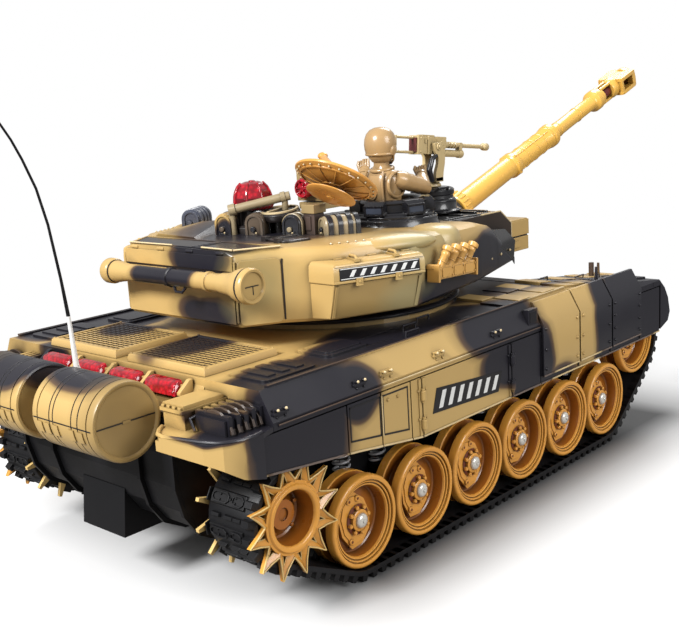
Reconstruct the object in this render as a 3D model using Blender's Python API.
"""Toy battle tank on sprung bogies.

Metres, X forward, Y left, Z up; the origin is on the ground under the middle of the bounding box.
The numbers below are millimetres. Places along the hull are stations, counted in road-wheel
pitches from the rearmost axle, and places across it are half widths from the centre plane.
"""
import math

import bmesh
import bpy
from mathutils import Matrix, Vector

for stale in list(bpy.data.objects):
    bpy.data.objects.remove(stale)

MM = 0.001
SIDES = (("left", 1), ("right", -1))

# running gear
PITCH = 37.0  # spacing of the road wheels, the dimension the hull is laid out by
MIDDLE = 3.6478  # station under the middle of the bounding box
WHEEL_R = 18.2
WHEEL_OUT, WHEEL_IN = 79.2, 65.8
BAND, CLEAT, RUN_GAP = 2.3, 2.2, 0.4  # track band, its cleats, and the gap under the wheels
AXLE_Z = BAND + CLEAT + RUN_GAP + WHEEL_R
AXLE_R, BORE = 2.0, 2.3
SPROCKET_AT, SPROCKET_Z = -1.07, 39.3
IDLER_AT, IDLER_Z = 5.87, 47.8
STAR_ROOT, STAR_TIP, TEETH = 17.9, 22.2, 12
DRUM_R = 15.2
TRACK_OUT, TRACK_IN = 80.5, 57.0
LINKS = 60
BOGIES = (("rear", 0.5), ("middle", 2.5), ("front", 4.5))
BOGIE_LIFT = 3.0

# hull
TUB_HALF, TUB_TOP, BELLY = 49.2, 74.0, 24.9
WALL = 2.2
DECK, HINGE, SILL = 86.7, 76.3, 73.5
DECK_HALF, SPONSON_HALF = 78.5, 82.8
SKIRT_IN, SKIRT_OUT, SKIRT_TOP = 83.2, 84.7, 73.2
TAIL, SPONSON_REAR, NOSE = -1.70, -1.31, 6.30

# turret
TURRET_AT = 2.0
TURRET_Z, ROOF = 96.3, 124.8
RING_R = 46.0
TRUNNION_AT, TRUNNION_Z = 4.35, 115.2
GUN_RISE = 18.6  # degrees the barrel is raised as modelled
CUPOLA_AT, CUPOLA_Y = 2.36, -26.5
MG_AT, MG_Y = 3.50, -17.0
MG_DIP = 6.0  # degrees the machine gun points down as modelled


def at(station):
    """Lengthwise place of a hull station."""
    return (station - MIDDLE) * PITCH


def along(outline):
    """A side-view outline, its first numbers given as stations."""
    return [(at(s), z) for s, z in outline]


def body(verts, faces):
    """A closed body with its faces turned outward."""
    mesh = bpy.data.meshes.new("body")
    mesh.from_pydata(verts, [], faces)
    shape = bmesh.new()
    shape.from_mesh(mesh)
    bmesh.ops.recalc_face_normals(shape, faces=shape.faces)
    shape.to_mesh(mesh)
    shape.free()
    obj = bpy.data.objects.new("body", mesh)
    bpy.context.collection.objects.link(obj)
    return obj


def loft(lower, low, upper, high, axis="z"):
    """A body between two outlines with as many corners, each flat across the axis."""
    place = {
        "x": lambda p, h: (h, p[0], p[1]),
        "y": lambda p, h: (p[0], h, p[1]),
        "z": lambda p, h: (p[0], p[1], h),
    }[axis]
    count = len(lower)
    verts = [place(p, low) for p in lower] + [place(p, high) for p in upper]
    faces = [list(range(count)), list(range(count, 2 * count))]
    for i in range(count):
        j = (i + 1) % count
        faces.append([i, j, j + count, i + count])
    return body(verts, faces)


def prism(outline, low, high, axis="z"):
    return loft(outline, low, outline, high, axis)


def box(x, y, z):
    return prism([(x[0], y[0]), (x[1], y[0]), (x[1], y[1]), (x[0], y[1])], z[0], z[1])


def turned(profile, steps, centre=(0, 0, 0), axis="z", phase=0.0):
    """A closed profile of (radius, height) turned about an axis through the centre."""
    verts, rings = [], []
    for radius, height in profile:
        if radius < 1e-6:
            rings.append([len(verts)])
            verts.append((0, 0, height))
            continue
        rings.append(list(range(len(verts), len(verts) + steps)))
        for k in range(steps):
            a = math.tau * (k + phase) / steps
            verts.append((radius * math.cos(a), radius * math.sin(a), height))
    faces = []
    for i, ring in enumerate(rings):
        other = rings[(i + 1) % len(rings)]
        if len(ring) == len(other) == 1:
            continue
        for k in range(steps):
            m = (k + 1) % steps
            quad = [ring[k % len(ring)], ring[m % len(ring)], other[m % len(other)], other[k % len(other)]]
            faces.append(list(dict.fromkeys(quad)))
    turn = {"x": Matrix.Rotation(math.pi / 2, 4, "Y"), "y": Matrix.Rotation(-math.pi / 2, 4, "X")}
    obj = body(verts, faces)
    obj.data.transform(Matrix.Translation(centre) @ turn.get(axis, Matrix.Identity(4)))
    return obj


def rod(radius, low, high, centre=(0, 0, 0), axis="z", steps=12, phase=0.0):
    return turned([(0, low), (radius, low), (radius, high), (0, high)], steps, centre, axis, phase)


def strut(start, end, radius, steps=8, tip=None):
    """A round bar between two points, tapering to the tip radius."""
    start, end = Vector(start), Vector(end)
    length = (end - start).length
    bar = turned([(0, 0), (radius, 0), (radius if tip is None else tip, length), (0, length)], steps)
    facing = (end - start).to_track_quat("Z", "Y").to_matrix().to_4x4()
    bar.data.transform(Matrix.Translation(start) @ facing)
    return bar


def spread(low, high, side):
    """A span of half widths on one side of the centre plane."""
    return tuple(sorted((low * side, high * side)))


def combine(base, others, operation):
    """One exact Boolean of a body with several others, which may overlap each other."""
    tools = bmesh.new()
    for other in others:
        tools.from_mesh(other.data)
        bpy.data.objects.remove(other)
    mesh = bpy.data.meshes.new("tools")
    tools.to_mesh(mesh)
    tools.free()
    operand = bpy.data.objects.new("tools", mesh)
    bpy.context.collection.objects.link(operand)
    step = base.modifiers.new("combine", "BOOLEAN")
    step.object, step.operation, step.solver, step.use_self = operand, operation, "EXACT", True
    bpy.context.view_layer.update()
    scene = bpy.context.evaluated_depsgraph_get()
    result = bpy.data.meshes.new_from_object(base.evaluated_get(scene))
    base.modifiers.clear()
    base.data = result
    bpy.data.objects.remove(operand)
    return base


def fuse(base, *others):
    return combine(base, others, "UNION")


def carve(base, *others):
    return combine(base, others, "DIFFERENCE")


def common(base, other):
    return combine(base, [other], "INTERSECT")


def tilt(obj, degrees, axis, pivot):
    pivot = Vector(pivot)
    turn = Matrix.Rotation(math.radians(degrees), 4, axis)
    obj.data.transform(Matrix.Translation(pivot) @ turn @ Matrix.Translation(-pivot))
    return obj


def part(obj, name, color, rough=0.5, metal=0.0, origin=(0, 0, 0)):
    """Name a finished body, give it its colour and put its origin on its joint."""
    obj.name = obj.data.name = name
    obj.data.transform(Matrix.Scale(MM, 4) @ Matrix.Translation(-Vector(origin)))
    obj.location = Vector(origin) * MM
    look = bpy.data.materials.new(name)
    look.use_nodes = True
    shader = look.node_tree.nodes["Principled BSDF"]
    shader.inputs["Base Color"].default_value = (*color, 1)
    shader.inputs["Roughness"].default_value = rough
    shader.inputs["Metallic"].default_value = metal
    obj.data.materials.clear()
    obj.data.materials.append(look)
    return obj


SAND, DARK, BLACK = (0.56, 0.42, 0.20), (0.030, 0.028, 0.035), (0.012, 0.012, 0.013)
ORANGE, YELLOW, CREAM = (0.72, 0.34, 0.06), (0.86, 0.52, 0.11), (0.68, 0.53, 0.30)
RED, RUBBER, TAN = (0.55, 0.01, 0.03), (0.014, 0.014, 0.015), (0.52, 0.33, 0.16)


# --- hull -----------------------------------------------------------------------------------
def lower_hull():
    outer = along([(-1.66, TUB_TOP), (TAIL, 62), (-1.69, 50), (-1.62, 40), (-1.47, 32), (-1.24, 26.6), (-0.95, BELLY),
                   (5.55, BELLY), (NOSE, 46), (NOSE, 54), (4.95, TUB_TOP)])
    inner = along([(-1.59, 90), (-1.635, 62), (-1.625, 51), (-1.56, 42), (-1.42, 34.4), (-1.20, 29), (-0.93, BELLY + WALL),
                   (5.50, BELLY + WALL), (6.23, 47), (6.23, 52), (4.90, 72), (4.90, 90)])
    tub = prism(outer, -TUB_HALF, TUB_HALF, "y")
    tub = carve(tub, prism(inner, -TUB_HALF + WALL, TUB_HALF - WALL, "y"))
    extras = [prism(along([(-1.70, 23.0), (-1.64, 42), (-1.50, 42), (-1.10, 27), (-1.10, 23.0)]), -13.5, 13.5, "y")]
    rib = along([(-1.735, 66), (-1.735, 50), (-1.66, 39), (-1.50, 30.4), (-1.25, 25.2), (-0.9, 23.8), (-0.9, 25.6),
                 (-1.22, 28), (-1.42, 33.4), (-1.57, 42), (-1.65, 52), (-1.66, 66)])
    for y in (-TUB_HALF + 0.9, -28.3, 28.3, TUB_HALF - 0.9):
        extras.append(prism(rib, y - 0.8, y + 0.8, "y"))
    for _, side in SIDES:
        ledge = spread(TUB_HALF - 1, 63.0, side)
        extras.append(box((at(-0.2), at(5.2)), ledge, (49.0, 51.0)))
        extras.append(rod(4.0, *spread(TUB_HALF - 2, 64.5, side), (at(IDLER_AT), 0, IDLER_Z), "y"))
        extras.append(rod(AXLE_R, *spread(60, 77.4, side), (at(IDLER_AT), 0, IDLER_Z), "y"))
        for _, centre in BOGIES:
            for shift in (-11, 11):
                x = at(centre) + shift
                extras.append(box((x - 1.5, x + 1.5), spread(TUB_HALF - 1, 53.6, side), (19, 49.5)))
    for y in (-10, 10):  # posts the battery door screws into
        extras.append(rod(2.5, BELLY + 0.5, 33, (at(2.90) + 6, y, 0)))
    tub = fuse(tub, *extras)
    bores = [rod(3.6, *spread(40, 60, side), (at(SPROCKET_AT), 0, SPROCKET_Z), "y") for _, side in SIDES]
    door = box((at(1.10), at(2.90)), (-22, 22), (20, 40))
    switch = box((at(0.20) - 6, at(0.20) + 6), (-3, 3), (20, 40))
    return part(carve(tub, *bores, door, switch), "lower_hull", BLACK, 0.45)


def glacis(station):
    return DECK - (station - 4.25) * 14.73


def upper_hull():
    side_out = along([(SPONSON_REAR, SILL), (SPONSON_REAR, DECK), (4.0, DECK), (6.3, 76.7), (6.3, SILL)])
    side_in = along([(-1.25, 60), (-1.25, DECK - 2), (3.98, DECK - 2), (6.25, 74.9), (6.25, 60)])

    def section(half, shoulder, low, knee, top):
        return [(-half, low), (-half, knee), (-shoulder, top), (shoulder, top), (half, knee), (half, low)]

    shell = prism(section(84.4, DECK_HALF, SILL, HINGE, DECK), at(-2), at(7), "x")
    shell = common(shell, prism(side_out, -90, 90, "y"))
    hollow = prism(section(SPONSON_HALF, 77.2, 60, 75.3, DECK - 2), at(-2), at(7), "x")
    hollow = common(hollow, prism(side_in, -90, 90, "y"))
    well = box((at(4.3), at(6.5)), (-TUB_HALF - 0.3, TUB_HALF + 0.3), (60, 100))
    sill = box((at(-1.4), at(-1.2)), (-TUB_HALF - 0.3, TUB_HALF + 0.3), (60, TUB_TOP + 0.3))
    shell = carve(shell, hollow, well, sill)

    slope = along([(4.05, DECK), (4.25, DECK), (6.40, glacis(6.40)), (6.40, glacis(6.40) - 2.2),
                   (4.25, DECK - 2.2), (4.05, DECK - 2.2)])
    cheek = along([(4.05, 84.0), (4.05, 86.2), (4.2, 86.2), (6.28, 76.2), (6.40, 62), (6.40, glacis(6.40) - 2.2),
                   (4.25, DECK - 2.2)])
    rear = along([(-1.0, DECK), (-1.28, DECK), (-1.36, 80.0), (-1.62, 76.2), (-1.62, 74.3), (-1.55, 74.3),
                  (-1.30, 78.6), (-1.22, 84.7), (-1.0, 84.7)])
    extras = [prism(slope, -TUB_HALF - 1, TUB_HALF + 1, "y"), prism(rear, -TUB_HALF - 1.5, TUB_HALF + 1.5, "y")]
    extras.append(rod(56, DECK - 1, DECK + 3.2, (at(TURRET_AT), 0, 0), steps=28))
    shelf = [(-1.15, 84.0), (-1.31, 84.3), (-1.48, 86.2), (-1.72, 87.2), (-1.90, 84.0), (-1.99, 78.0),
             (-2.08, 60.0), (-2.02, 56.5), (-1.86, 50.2), (-1.15, 50.2)]
    rim_in = [(-1.475, 84.6), (-1.72, 85.6), (-1.865, 82.8), (-1.945, 77.4), (-2.035, 60.0), (-2.03, 58.0)]
    rim_out = [(-2.08, 58.0)] + [shelf[6], shelf[5], shelf[4], shelf[3], (-1.475, 86.1)]
    under = along([(-1.2, 40), (-1.2, 59.0), (-1.48, 59.4), (-1.75, 62.5), (-1.93, 67.0), (-2.2, 73.0), (-2.3, 40)])
    for _, side in SIDES:
        extras.append(prism(cheek, *spread(TUB_HALF + 0.3, TUB_HALF + 2.3, side), "y"))
        plan = [(at(s), y * side) for s, y in shelf]
        extras.append(prism(plan, SILL, 75.2))
        flap = prism([(at(s), y * side) for s, y in rim_in + rim_out], 50, 74)
        extras.append(carve(flap, prism(under, -95, 95, "y")))
        guard = along([(6.22, 76.6), (6.30, 76.7), (6.45, 72.0), (6.56, 66.0), (6.62, 58.0), (6.58, 57.0),
                       (6.52, 65.0), (6.41, 71.0), (6.25, 75.0)])
        extras.append(prism(guard, *spread(51, 83.0, side), "y"))
        cheek_end = along([(6.10, 76.3), (6.30, 76.3), (6.45, 71.6), (6.56, 65.6), (6.62, 57.6), (6.56, 53.0),
                           (6.32, 50.0), (6.32, 74.0), (6.10, 74.0)])
        extras.append(prism(cheek_end, *spread(82.4, 84.5, side), "y"))
    extras.append(box((at(-1.82), at(-1.35)), (-62.0, -51.0), (74.5, 83.6)))
    extras.append(box((at(-1.85), at(-1.32)), (-62.6, -50.6), (81.0, 82.2)))
    extras.append(box((at(-1.75), at(-1.28)), (-79.0, -64.0), (74.5, 80.5)))
    for k in range(5):
        x = at(-1.70) + k * 3.4
        extras.append(box((x - 0.8, x + 0.8), (-80.0, -63.4), (74.5, 81.8)))
    for y in (-60, 60):
        extras.append(rod(1.4, 78.0, 88.5, (at(5.55), y, 0), steps=8))
    hull = fuse(shell, *extras)
    ring = rod(41.0, 70, 100, (at(TURRET_AT), 0, 0), steps=28)
    intakes = [box((at(-1.19), at(-0.36)), spread(6, 44, side), (80, 95)) for _, side in SIDES]
    return part(carve(hull, ring, *intakes), "upper_hull", SAND, 0.55)


def side_skirt(name, side):
    outline = along([(-1.45, SKIRT_TOP), (-1.45, 59.4), (-0.2, 54.1), (0.8, 48.9), (6.29, 48.9), (6.29, SKIRT_TOP)])
    skirt = prism(outline, *spread(SKIRT_IN, SKIRT_OUT, side), "y")
    extras = []
    for left, right in ((4.02, 4.62), (4.68, 5.28), (5.34, 5.94)):
        extras.append(box((at(left), at(right)), spread(SKIRT_OUT - 0.5, SKIRT_OUT + 1.2, side), (52.5, 72.8)))
    for station in (0.86, 2.85):
        for z in (56, 68):
            extras.append(rod(1.1, z - 2, z + 2, (at(station), side * SKIRT_OUT, 0), steps=8))
    return part(fuse(skirt, *extras), f"side_skirt_{name}", DARK, 0.5)


def engine_grille(name, side):
    low, high = 3.6, 49.0
    x0, x1 = at(-1.26), at(-0.29)
    frame = box((x0, x1), spread(low, high, side), (DECK + 0.2, DECK + 3.0))
    frame = carve(frame, box((x0 + 2.5, x1 - 2.5), spread(low + 2.5, high - 2.5, side), (80, 95)))
    slats = []
    for k in range(9):
        y = low + 1 + k * 5.2
        slat = prism([(x0 + 1, (y - 4) * side), (x1 - 1, (y + 4) * side), (x1 - 1, (y + 6) * side),
                      (x0 + 1, (y - 2) * side)], DECK + 0.4, DECK + 2.4)
        slats.append(common(slat, box((x0 + 1, x1 - 1), spread(low + 1, high - 1, side), (80, 95))))
    return part(fuse(frame, *slats), f"engine_grille_{name}", DARK, 0.45)


def tail_light_bar():
    bar = box((at(-1.42), at(-1.38)), (-44, 44), (81.4, 83.0))
    lenses = []
    for left, right in ((-42.8, -24.6), (-20.6, -2.6), (2.6, 20.6), (24.6, 42.8)):
        lens = loft([(at(-1.51), left), (at(-1.385), left), (at(-1.385), right), (at(-1.51), right)], 80.8,
                    [(at(-1.48), left + 1), (at(-1.37), left + 1), (at(-1.37), right - 1),
                     (at(-1.48), right - 1)], 85.8)
        lenses.append(lens)
    return part(fuse(bar, *lenses), "tail_light_bar", RED, 0.2)


def fuel_drum(name, side):
    x, z, r = at(-2.05), 77.2, 13.8
    y0, y1 = 5.2, 42.2
    profile = [(0, y0), (r - 1.2, y0), (r, y0 + 1.0)]
    for mark in (0.30, 0.70):
        y = y0 + mark * (y1 - y0)
        profile += [(r, y - 1.6), (r + 0.7, y - 1.6), (r + 0.7, y + 1.6), (r, y + 1.6)]
    profile += [(r, y1 - 1.0), (r - 1.2, y1), (0, y1)]
    drum = turned([(a, b * side) for a, b in profile], 16, (x, 0, z), "y")
    feet = []
    for mark in (0.30, 0.70):
        y = (y0 + mark * (y1 - y0)) * side
        feet.append(box((x + 6, at(-1.72)), (y - 1.5, y + 1.5), (63.5, 68.5)))
    return part(fuse(drum, *feet), f"fuel_drum_{name}", SAND, 0.5)


def whip_antenna():
    knots = [(-1.66, 78.5), (-1.74, 84.0), (-1.80, 90.0), (-1.82, 106.0), (-1.93, 142.0), (-2.12, 165.5),
             (-2.30, 178.0), (-2.44, 186.0)]
    radii = [2.0, 2.0, 1.5, 0.9, 0.75, 0.65, 0.6, 0.6]
    verts, faces, n = [], [], 8
    for (s, z), r in zip(knots, radii):
        for k in range(n):
            a = math.tau * k / n
            verts.append((at(s) + r * math.cos(a), r * math.sin(a), z))
    for ring in range(len(knots) - 1):
        for k in range(n):
            a, b = ring * n + k, ring * n + (k + 1) % n
            faces.append([a, b, b + n, a + n])
    faces += [list(range(n)), list(range(len(verts) - n, len(verts)))]
    return part(body(verts, faces), "whip_antenna", BLACK, 0.4)


def cradle():
    """What rides inside the tub: cells, board, two drives and the sound unit."""
    x = at(1.10)
    pack = box((x + 3, x + 60), (-18, 18), (BELLY + 3.2, BELLY + 18))
    cells = [rod(7.0, x + 3, x + 60, (0, y, BELLY + 16), "x", 12) for y in (-9.5, 9.5)]
    part(fuse(pack, *cells), "battery_pack", (0.05, 0.12, 0.35), 0.4)
    door = box((x + 0.3, at(2.90) - 0.3), (-21.7, 21.7), (BELLY, BELLY + WALL))
    part(fuse(door, box((x + 8, x + 16), (-6, 6), (BELLY - 0.8, BELLY + 1))), "battery_door", BLACK, 0.45)
    x = at(3.35)
    board = box((x, x + 46), (-30, 30), (34, 35.6))
    chips = [box((x + 6, x + 18), (-20, -6), (35, 38)), box((x + 24, x + 40), (2, 18), (35, 37.5)),
             rod(3.0, 35, 44, (x + 32, -18, 0)), rod(3.0, 35, 44, (x + 12, 18, 0))]
    chips += [rod(2.0, BELLY + WALL + 0.1, 34.5, (x + a, b, 0), steps=8) for a in (4, 42) for b in (-26, 26)]
    part(fuse(board, *chips), "circuit_board", (0.02, 0.16, 0.06), 0.4)
    for name, side in SIDES:
        x = at(SPROCKET_AT)
        case = box((x - 8, x + 26), spread(22.0, 46.4, side), (33.5, 52))
        case = fuse(case, rod(9.5, *spread(3.0, 23.0, side), (x + 15, 0, 39), "y", 16))
        shaft = rod(4.4, *spread(36, 50, side), (x, 0, SPROCKET_Z), "y")
        part(carve(case, shaft), f"gearbox_{name}", (0.35, 0.35, 0.36), 0.5)
    x = at(5.35)
    speaker = turned([(0, 29.5), (8, 29.5), (9, 36), (15, 40), (15, 43), (0, 43)], 16, (x - 9, 0, 0))
    foot = box((x - 15, x - 3), (-6, 6), (BELLY + WALL + 0.2, 30))
    part(fuse(speaker, foot), "speaker", (0.03, 0.03, 0.03), 0.6)
    x = at(0.20)
    lever = box((x - 2.2, x + 2.2), (-2.2, 2.2), (BELLY - 1.0, BELLY + 6.0))
    lever = fuse(lever, box((x - 3.5, x + 3.5), (-4.5, 4.5), (BELLY + WALL + 0.3, BELLY + WALL + 2.0)))
    part(lever, "power_switch", (0.5, 0.02, 0.02), 0.4, origin=(x, 0, BELLY))


# --- running gear ---------------------------------------------------------------------------
def loop_points():
    """The inner face of a track as a closed line of points, with the way out at each."""
    wraps = [(at(SPROCKET_AT), SPROCKET_Z, DRUM_R + 0.5), (at(0), AXLE_Z, WHEEL_R + RUN_GAP),
             (at(5), AXLE_Z, WHEEL_R + RUN_GAP), (at(IDLER_AT), IDLER_Z, WHEEL_R + RUN_GAP)]
    path = []
    for i, (x, z, r) in enumerate(wraps):
        xb, zb, rb = wraps[i - 1]
        xa, za, ra = wraps[(i + 1) % len(wraps)]

        def leave(x0, z0, r0, x1, z1, r1):
            reach = math.hypot(x1 - x0, z1 - z0)
            return math.atan2(z1 - z0, x1 - x0) - math.pi / 2 + math.asin((r1 - r0) / reach) * -1

        start = leave(xb, zb, rb, x, z, r)
        end = leave(x, z, r, xa, za, ra)
        while end < start - 1e-6:
            end += math.tau
        steps = max(1, round((end - start) / math.radians(12)))
        for k in range(steps + 1):
            a = start + (end - start) * k / steps
            path.append((x + r * math.cos(a), z + r * math.sin(a)))
    return path


def walk(path, count):
    """Points spaced evenly round a closed line, each with its outward direction."""
    hops = [math.dist(path[i], path[(i + 1) % len(path)]) for i in range(len(path))]
    total, out = sum(hops), []
    for k in range(count):
        go, i = total * k / count, 0
        while go > hops[i]:
            go -= hops[i]
            i += 1
        a, b = path[i], path[(i + 1) % len(path)]
        f = go / hops[i]
        dx, dz = (b[0] - a[0]) / hops[i], (b[1] - a[1]) / hops[i]
        out.append((a[0] + dx * go, a[1] + dz * go, dz, -dx, f))
    return out


def track(name, side):
    path = loop_points()
    inner = walk(path, LINKS * 2)
    outer = []
    for k, (x, z, nx, nz, _) in enumerate(walk(path, LINKS * 5)):
        phase = k % 5
        rise = BAND + (CLEAT if phase in (0, 1, 2, 3) else 0)
        if phase in (0, 3):
            outer.append((x + nx * BAND, z + nz * BAND) if phase == 0 else (x + nx * rise, z + nz * rise))
            outer.append((x + nx * rise, z + nz * rise) if phase == 0 else (x + nx * BAND, z + nz * BAND))
    low, high = spread(TRACK_IN, TRACK_OUT, side)
    verts, faces = [], []
    rings = [[(x, z) for x, z, *_ in inner], outer]
    starts = []
    for ring in rings:
        starts.append((len(verts), len(verts) + len(ring), len(ring)))
        verts += [(x, low, z) for x, z in ring] + [(x, high, z) for x, z in ring]
    for a, b, n in starts:
        for k in range(n):
            m = (k + 1) % n
            faces.append([a + k, a + m, b + m, b + k])
    for end in (0, 1):
        a, b = starts[0][end], starts[1][end]
        for link in range(LINKS):
            start, middle, after = 2 * link, 2 * link + 1, (2 * link + 2) % (2 * LINKS)
            corners = [b + 4 * link + j for j in range(4)] + [b + (4 * link + 4) % (4 * LINKS)]
            faces.append([a + start, a + middle, corners[2], corners[1], corners[0]])
            faces.append([a + middle, a + after, corners[4], corners[3], corners[2]])
    return part(body(verts, faces), f"track_{name}", RUBBER, 0.7)


def wheel(name, side, x, z):
    r, out, inn = WHEEL_R, WHEEL_OUT, WHEEL_IN
    profile = [(BORE, out - 2.4), (6.0, out - 3.0), (8.0, out - 6.0), (13.2, out - 2.2), (13.6, out), (r, out),
               (r, out - 4.4), (14.5, out - 6.0), (r, out - 7.8), (r, inn), (BORE, inn - 0.6)]
    disc = turned([(a, b * side) for a, b in profile], 16, (x, 0, z), "y")
    return part(disc, name, ORANGE, 0.4, origin=(x, 72.5 * side, z))


def sprocket(name, side):
    x, z = at(SPROCKET_AT), SPROCKET_Z

    def star(low, high):
        points = []
        for k in range(TEETH * 2):
            r = STAR_TIP if k % 2 == 0 else STAR_ROOT
            a = math.tau * k / (TEETH * 2)
            points.append((x + r * math.cos(a), z + r * math.sin(a)))
        plate = prism(points, *spread(low, high, side), "y")
        return carve(plate, rod(13.8, *spread(low - 1, high + 1, side), (x, 0, z), "y", 16))

    profile = [(0, 82.0), (4.0, 82.0), (4.0, 76.5), (11.5, 76.5), (12.5, 82.6), (DRUM_R, 82.6), (DRUM_R, 55.0),
               (0, 55.0)]
    drum = turned([(a, b * side) for a, b in profile], 16, (x, 0, z), "y")
    shaft = rod(3.0, *spread(38.0, 56, side), (x, 0, z), "y")
    gear = fuse(drum, star(81.0, 82.5), star(54.9, 56.3), shaft)
    return part(gear, f"sprocket_{name}", ORANGE, 0.4, origin=(x, 70 * side, z))


def bogie(name, side, place, centre):
    x, z = at(centre), AXLE_Z
    beam = box((x - PITCH / 2 - 4.5, x + PITCH / 2 + 4.5), spread(57.4, 62.5, side), (z - 4.5, z + 4.5))
    tongue = box((x - 9.2, x + 9.2), spread(49.6, 58.4, side), (z - 4, z + 18))
    extras = [tongue]
    for shift in (-1, 1):
        axle = rod(AXLE_R, *spread(60, 77.6, side), (x + shift * PITCH / 2, 0, z), "y")
        cup = rod(4.2, z + 3, z + 11.5, (x + shift * 10.7, 60.6 * side, 0), steps=12)
        extras += [axle, cup]
    carriage = fuse(beam, *extras)
    return part(carriage, f"bogie_{name}_{place}", (0.025, 0.025, 0.027), 0.5, origin=(x, 58 * side, z))


# --- turret ---------------------------------------------------------------------------------
PLAN = [(-0.42, 0.93), (0.0, 1.18), (0.37, 1.58), (1.27, 1.93), (2.76, 1.68), (4.25, 1.22)]
HOLLOW = [(-0.30, 0.84), (0.04, 1.06), (0.42, 1.50), (1.27, 1.84), (2.72, 1.58), (3.25, 1.30)]


def both_sides(plan):
    right = [(at(s), -h * PITCH) for s, h in plan]
    return right + [(x, -y) for x, y in reversed(right)]


def turret_base():
    x = at(TURRET_AT)
    profile = [(30, 82.0), (39.5, 82.0), (39.5, DECK + 3.6), (RING_R, DECK + 3.6), (RING_R, TURRET_Z - 0.2),
               (30, TURRET_Z - 0.2)]
    return part(turned(profile, 28, (x, 0, 0)), "turret_base", BLACK, 0.5, origin=(x, 0, DECK))


def turret_shell():
    shell = prism(both_sides(PLAN), TURRET_Z, 140)
    roof = along([(-0.6, 90), (-0.6, 125.6), (1.0, ROOF), (2.9, 122.0), (3.35, 118.5), (4.3, 99.5), (4.3, 90)])
    shell = common(shell, prism(roof, -90, 90, "y"))
    brow = along([(2.6, TURRET_Z), (4.30, TURRET_Z), (4.30, 114.6), (4.06, 121.4), (2.9, 122.6), (2.6, 118)])
    nose = along([(4.1, TURRET_Z), (5.15, TURRET_Z), (5.15, 112.0), (5.05, 113.0), (4.1, 113.0)])
    extras = [prism(brow, -42, 42, "y"), prism(nose, -32.5, 32.5, "y")]
    # roof furniture moulded into the shell: banded pods, beacon pedestal, sensor post, roof rods
    for x, y, turn in ((1.14, 56, 30), (0.73, 14, 18), (0.87, 1, 26), (1.06, -15.5, 18), (1.19, -34, -26)):
        pod = loft([(-7, -4), (7, -4), (7, 4), (-7, 4)], 0, [(-7, -2.6), (7, -2.6), (7, 2.6), (-7, 2.6)], 6.6)
        for band in (-3.0, 3.0):
            pod = fuse(pod, loft([(band - 0.7, -4.5), (band + 0.7, -4.5), (band + 0.7, 4.5), (band - 0.7, 4.5)], 0,
                                 [(band - 0.7, -3.0), (band + 0.7, -3.0), (band + 0.7, 3.0), (band - 0.7, 3.0)],
                                 7.2))
        pod.data.transform(Matrix.Translation((at(x), y, ROOF - 1.8)) @ Matrix.Rotation(math.radians(turn), 4, "Z"))
        extras.append(pod)
    extras.append(turned([(0, ROOF - 1.7), (11.5, ROOF - 1.7), (11.5, ROOF + 4), (8.4, ROOF + 6), (8.4, ROOF + 9.8),
                          (0, ROOF + 9.8)], 8, (at(0.97), 9, 0), phase=0.5))
    extras.append(box((-99, -92), (-27.2, -20.2), (ROOF - 2.0, ROOF + 12.5)))
    extras.append(box((-99, -79), (-26.4, -12), (ROOF + 9.4, ROOF + 12.5)))
    shell = fuse(shell, *extras)
    cavity = prism(both_sides(HOLLOW), 80, 119.0)
    slot = along([(3.55, 104), (5.3, 104), (5.3, 140), (3.55, 140)])
    gun_slot = prism(slot, -9.5, 9.5, "y")
    return part(carve(shell, cavity, gun_slot), "turret_shell", SAND, 0.5, origin=(at(TURRET_AT), 0, DECK))


def on_flank(obj, side, station, half, before, after):
    """Lay a body built along X with its back on y = 0 against a straight flank of the turret."""
    (s0, h0), (s1, h1) = before, after
    lean = math.atan2(h1 - h0, s1 - s0) * side
    start = Vector((at(station), half * PITCH * side, 0))
    flip = Matrix.Scale(side, 4, Vector((0, 1, 0)))
    obj.data.transform(Matrix.Translation(start) @ Matrix.Rotation(lean, 4, "Z") @ flip)
    if side < 0:
        obj.data.flip_normals()
    return obj


def stowage_box(name, side):
    length, z0, z1, z2 = 38.6, 97.4, 111.4, 119.8

    def plan(depth, trim=0.0):
        return [(trim - 4.6, -3.6), (4.9, 0), (length - trim, 0), (length - trim, depth), (trim, depth)]

    lower = loft(plan(2.2), z0, plan(7.8), z1)
    lid = loft(plan(8.8, -0.5), z1 - 0.3, plan(7.6, 0.6), z2)
    handles = [box((a, a + 2.0), (1.5, 7), (z2 - 0.6, z2 + 1.4)) for a in (9.0, 26.0)]
    crate = on_flank(fuse(lower, lid, *handles), side, 0.24, 1.58 - 0.13 * 0.389 + 0.015, PLAN[2], PLAN[3])
    return part(crate, f"stowage_box_{name}", SAND, 0.5, origin=(at(TURRET_AT), 0, DECK))


def smoke_launcher(name, side):
    z = 106.0
    bracket = box((0, 34), (0.4, 5.4), (z, z + 5.6))
    extras = []
    for k in range(4):
        x = 4.5 + k * 7.8
        extras.append(strut((x - 1.0, 3.6, z + 4.4), (x + 3.0, 5.6, z + 12.0), 2.2, 10))
        extras.append(strut((x + 2.6, 5.4, z + 11.0), (x + 3.3, 5.8, z + 12.8), 2.8, 10))
    station = 1.46
    half = 1.93 - (station - 1.27) * 0.1678 + 0.012
    rack = tilt(fuse(bracket, *extras), 4.5, "Y", (0, 0, z))
    rack = on_flank(rack, side, station, half, PLAN[3], PLAN[4])
    return part(rack, f"smoke_launcher_{name}", ORANGE, 0.4, origin=(at(TURRET_AT), 0, DECK))


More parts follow.
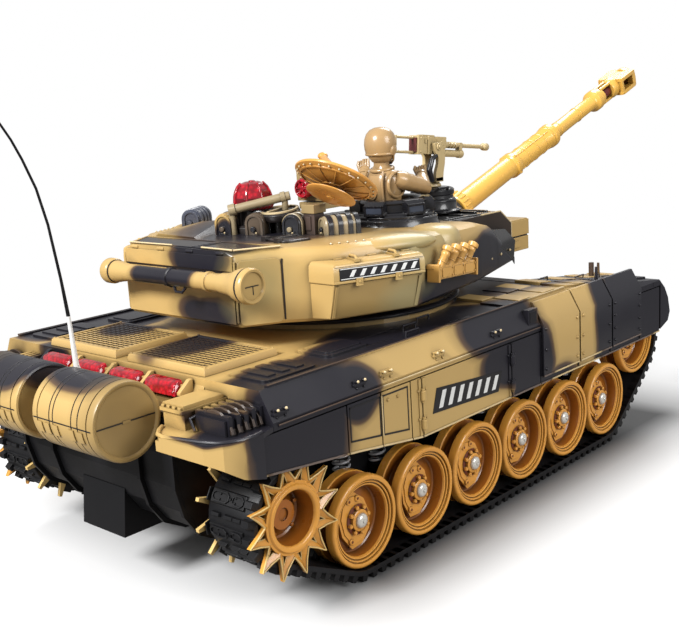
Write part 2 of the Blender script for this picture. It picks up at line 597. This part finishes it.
def snorkel_tube():
    x, z, r = at(-0.66), 115.6, 3.3
    profile = [(0, -46.0), (6.7, -46.0), (6.7, -43.4), (5.6, -43.0), (5.4, -38.5), (3.9, -33), (r, -31), (r, 31),
               (3.9, 31.5), (4.4, 34.0), (4.5, 36.6), (5.2, 37.0), (5.2, 41.6), (0, 41.6)]
    tube = turned(profile, 16, (x, -7.4, z), "y")
    feet = [box((x + 1.5, at(-0.43)), (y - 2, y + 2), (z - 2.4, z + 0.6)) for y in (-28, 18)]
    return part(fuse(tube, *feet), "snorkel_tube", SAND, 0.5, origin=(at(TURRET_AT), 0, DECK))


def commander_cupola():
    x, y, z = at(CUPOLA_AT), CUPOLA_Y, 124.2
    profile = [(12.0, z), (18.6, z), (18.6, z + 4.2), (16.4, z + 5.0), (15.6, z + 5.2), (15.6, z + 9.6),
               (14.6, z + 10.4), (12.0, z + 10.4)]
    ring = turned(profile, 20, (x, y, 0))
    blocks = []
    for k in range(7):
        block = box((13.2, 17.6), (-3.2, 3.2), (z + 4.0, z + 10.0))
        turn = Matrix.Rotation(math.radians(k * 51.4 + 8), 4, "Z")
        block.data.transform(Matrix.Translation((x, y, 0)) @ turn)
        blocks.append(block)
    base = at(MG_AT)
    step = turned([(0, 123.0), (11.4, 123.0), (11.4, 129.0), (10.4, 129.6), (10.4, 133.8), (9.2, 134.4), (0, 134.4)], 16,
                  (base, MG_Y, 0))
    arm = box((x + 12, base), (MG_Y - 5, MG_Y + 3), (z + 1.0, z + 5.0))
    ring = fuse(ring, *blocks, step, arm)
    bore = rod(2.3, 127, 140, (base, MG_Y, 0))
    return part(carve(ring, bore), "commander_cupola", BLACK, 0.35, origin=(at(TURRET_AT), 0, DECK))


def commander_figure():
    x, y = at(CUPOLA_AT) - 4.0, CUPOLA_Y + 1.0
    torso = turned([(0, 124.6), (6.0, 124.6), (7.4, 134.0), (9.0, 140.0), (8.0, 145.5), (4.0, 148.0), (0, 148.2)], 12,
                   (x, y, 0))
    torso.data.transform(Matrix.Translation((x, 0, 0)) @ Matrix.Diagonal((0.82, 1, 1, 1)) @ Matrix.Translation(
        (-x, 0, 0)))
    neck = strut((x, y, 145), (x - 0.6, y, 151), 3.4, 10)
    head = turned([(0, -7.8), (3.6, -7.2), (6.0, -4.2), (7.0, 0), (6.6, 3.4), (4.7, 6.4), (2.3, 7.7), (0, 8.0)], 12,
                  (x - 0.6, y, 157.6))
    arms = []
    for side, hand in ((1, (x + 9.5, y + 19, 147.0)), (-1, (x + 23.5, y - 3.0, 144.0))):
        shoulder = (x, y + 7.8 * side, 143.0)
        elbow = (x + 4.0, y + 15.5 * side, 138.0) if side > 0 else (x + 13.5, y - 11.5, 138.6)
        arms += [strut(shoulder, elbow, 3.9, 8, 3.2), strut(elbow, hand, 3.2, 8, 2.3)]
        arms.append(turned([(0, -3.2), (3.1, 0), (0, 3.2)], 8, elbow))
    figure = fuse(torso, neck, head, *arms)
    return part(figure, "commander_figure", TAN, 0.5, origin=(at(TURRET_AT), 0, DECK))


def machine_gun():
    x, y = at(MG_AT), MG_Y
    post = rod(2.0, 127.3, 138.0, (x, y, 0))
    collar = rod(4.2, 134.6, 136.8, (x, y, 0))
    fork = [box((x - 3, x + 3), (y + s * 4.0 - 0.9, y + s * 4.0 + 0.9), (138.5, 156.0)) for s in (-1, 1)]
    web = box((x - 2.8, x + 2.8), (y - 4.7, y + 4.7), (137.2, 139.6))
    mount = fuse(post, collar, web, *fork)
    part(mount, "machine_gun_mount", CREAM, 0.45, origin=(x, y, 134.0))
    z = 154.4
    receiver = box((x - 13, x + 9), (y - 2.8, y + 2.8), (z - 4.2, z + 4.4))
    extras = [rod(1.3, x + 6, x + 45, (0, y, z + 0.8), "x", 10), rod(1.9, x + 43.5, x + 47, (0, y, z + 0.8), "x", 10),
              rod(1.8, x + 6, x + 25, (0, y, z - 3.2), "x", 10),
              box((x + 22, x + 24.5), (y - 1.6, y + 1.6), (z - 4.6, z + 2.4))]
    for dz in (-3.4, 3.4):
        extras.append(box((x - 27, x - 12), (y - 0.8, y + 0.8), (z + dz - 0.8, z + dz + 0.8)))
    extras.append(box((x - 28, x - 26), (y - 0.9, y + 0.9), (z - 4.4, z + 4.4)))
    extras.append(rod(1.2, y - 2.9, y + 2.9, (x, 0, z - 0.5), "y"))
    gun = tilt(fuse(receiver, *extras), MG_DIP, "Y", (x, y, z - 0.5))
    return part(gun, "machine_gun", CREAM, 0.45, origin=(x, y, z - 0.5))


def roof_lights():
    x, y = at(0.97), 9
    low = ROOF + 10.0
    lens = turned([(0, low), (8.6, low), (8.0, low + 7.0), (5.4, low + 11.4), (0, low + 11.8)], 8, (x, y, 0), phase=0.5)
    part(lens, "beacon_lens", RED, 0.2, origin=(at(TURRET_AT), 0, DECK))
    x, y, z = at(1.38), -17.0, ROOF + 12.8
    housing = box((x - 6.5, x + 6.5), (y - 7.5, y + 7.5), (z, z + 14))
    housing = fuse(housing, rod(5.2, x + 6, x + 8.4, (0, y, z + 7), "x", 16))
    housing = carve(housing, rod(2.0, z + 12.6, z + 20, (x, -20.0, 0), steps=10))
    part(housing, "lamp_housing", SAND, 0.5, origin=(at(TURRET_AT), 0, DECK))
    pair = box((x - 8.4, x - 6.8), (y - 18, y + 3), (z + 2.4, z + 7.4))
    pods = [rod(4.0, x - 11.6, x - 7.0, (0, y + dy, z + dz), "x", 14) for dy, dz in ((0, 5.7), (-16.0, 3.9))]
    part(fuse(pair, *pods), "lamp_lens", RED, 0.2, origin=(at(TURRET_AT), 0, DECK))


DISH_AT = (-109.6, -50.4, 148.2)


def radar_dish():
    x, y, z = DISH_AT
    bowl = turned([(0, -2.6), (8.4, -2.0), (16.8, 0.2), (16.8, 1.4), (8.4, -0.7), (0, -1.2)], 20)
    stalk = rod(1.3, -6.0, 4.0, steps=8)
    plate = turned([(0, -6.7), (9.4, -6.5), (10.0, -5.8), (0, -5.5)], 14)
    dish = fuse(bowl, stalk, plate)
    facing = Matrix.Rotation(math.radians(32), 4, "Y")
    dish.data.transform(Matrix.Translation((x, y, z)) @ facing)
    hinge = (at(1.38), -20.0, 155.5)
    arm = strut((x + 1.6, y + 0.2, z + 2.2), hinge, 1.5, 8)
    pin = rod(1.6, 150.6, 157.0, hinge[:2] + (0,), steps=10)
    return part(fuse(dish, arm, pin), "radar_dish", ORANGE, 0.4, origin=hinge)


def gun():
    x, z = at(TRUNNION_AT), TRUNNION_Z
    block = turned([(0, -14), (5.5, -14), (8.2, -8), (8.8, 0), (8.2, 8), (7.2, 16), (0, 16)], 16, (x, 0, z), "x")
    block = fuse(block, rod(4.0, -9.2, 9.2, (x, 0, z), "y"))
    block = carve(block, rod(6.3, 8.0, 20, (x, 0, z), "x", 20))
    profile = [(0, 8.3), (5.8, 8.3), (5.8, 65), (6.9, 65.4), (6.9, 69), (6.0, 69.4), (5.9, 107), (6.8, 107.4),
               (6.8, 111), (4.3, 111.6), (4.1, 161), (6.3, 163), (6.3, 168), (5.4, 170), (5.4, 184), (6.2, 186),
               (6.2, 207), (5.6, 209), (0, 209)]
    barrel = turned(profile, 14, (x, 0, z), "x")
    ears = loft([(187, -8.4), (207, -8.4), (207, 8.4), (187, 8.4)], -4.6,
                [(187, -8.4), (207, -8.4), (207, 8.4), (187, 8.4)], 4.6)
    ears.data.transform(Matrix.Translation((x, 0, z)))
    windows = [box((x + a, x + b), (-9, 9), (z - 2.4, z + 2.4)) for a, b in ((172.5, 181.5), (190, 203))]
    bore = rod(2.6, 160, 212, (x, 0, z), "x")
    barrel = carve(fuse(barrel, ears), bore, *windows)
    for obj, name, color in ((block, "gun_mantlet", DARK), (barrel, "gun_barrel", YELLOW)):
        tilt(obj, -GUN_RISE, "Y", (x, 0, z))
        part(obj, name, color, 0.4, origin=(x, 0, z))


def turret_motor():
    x = at(TURRET_AT)
    motor = rod(10.0, 62, 80, (x + 18, 0, 0), steps=16)
    pinion = rod(3.0, 79, 92, (x + 18, 0, 0), steps=12)
    legs = [strut((x + 18, s * 8, 66), (x + 18, s * 40, 66), 2.6, 8) for s in (-1, 1)]
    return part(fuse(motor, pinion, *legs), "turret_motor", (0.4, 0.4, 0.42), 0.4, 0.6)


lower_hull()
upper_hull()
tail_light_bar()
whip_antenna()
cradle()
turret_base()
turret_shell()
snorkel_tube()
commander_cupola()
commander_figure()
machine_gun()
roof_lights()
radar_dish()
gun()
turret_motor()
for label, side in SIDES:
    side_skirt(label, side)
    engine_grille(label, side)
    fuel_drum(label, side)
    track(label, side)
    sprocket(label, side)
    wheel(f"idler_wheel_{label}", side, at(IDLER_AT), IDLER_Z)
    stowage_box(label, side)
    smoke_launcher(label, side)
    for place, centre in BOGIES:
        bogie(label, side, place, centre)
    for number in range(6):
        wheel(f"road_wheel_{label}_{number + 1}", side, at(number), AXLE_Z)
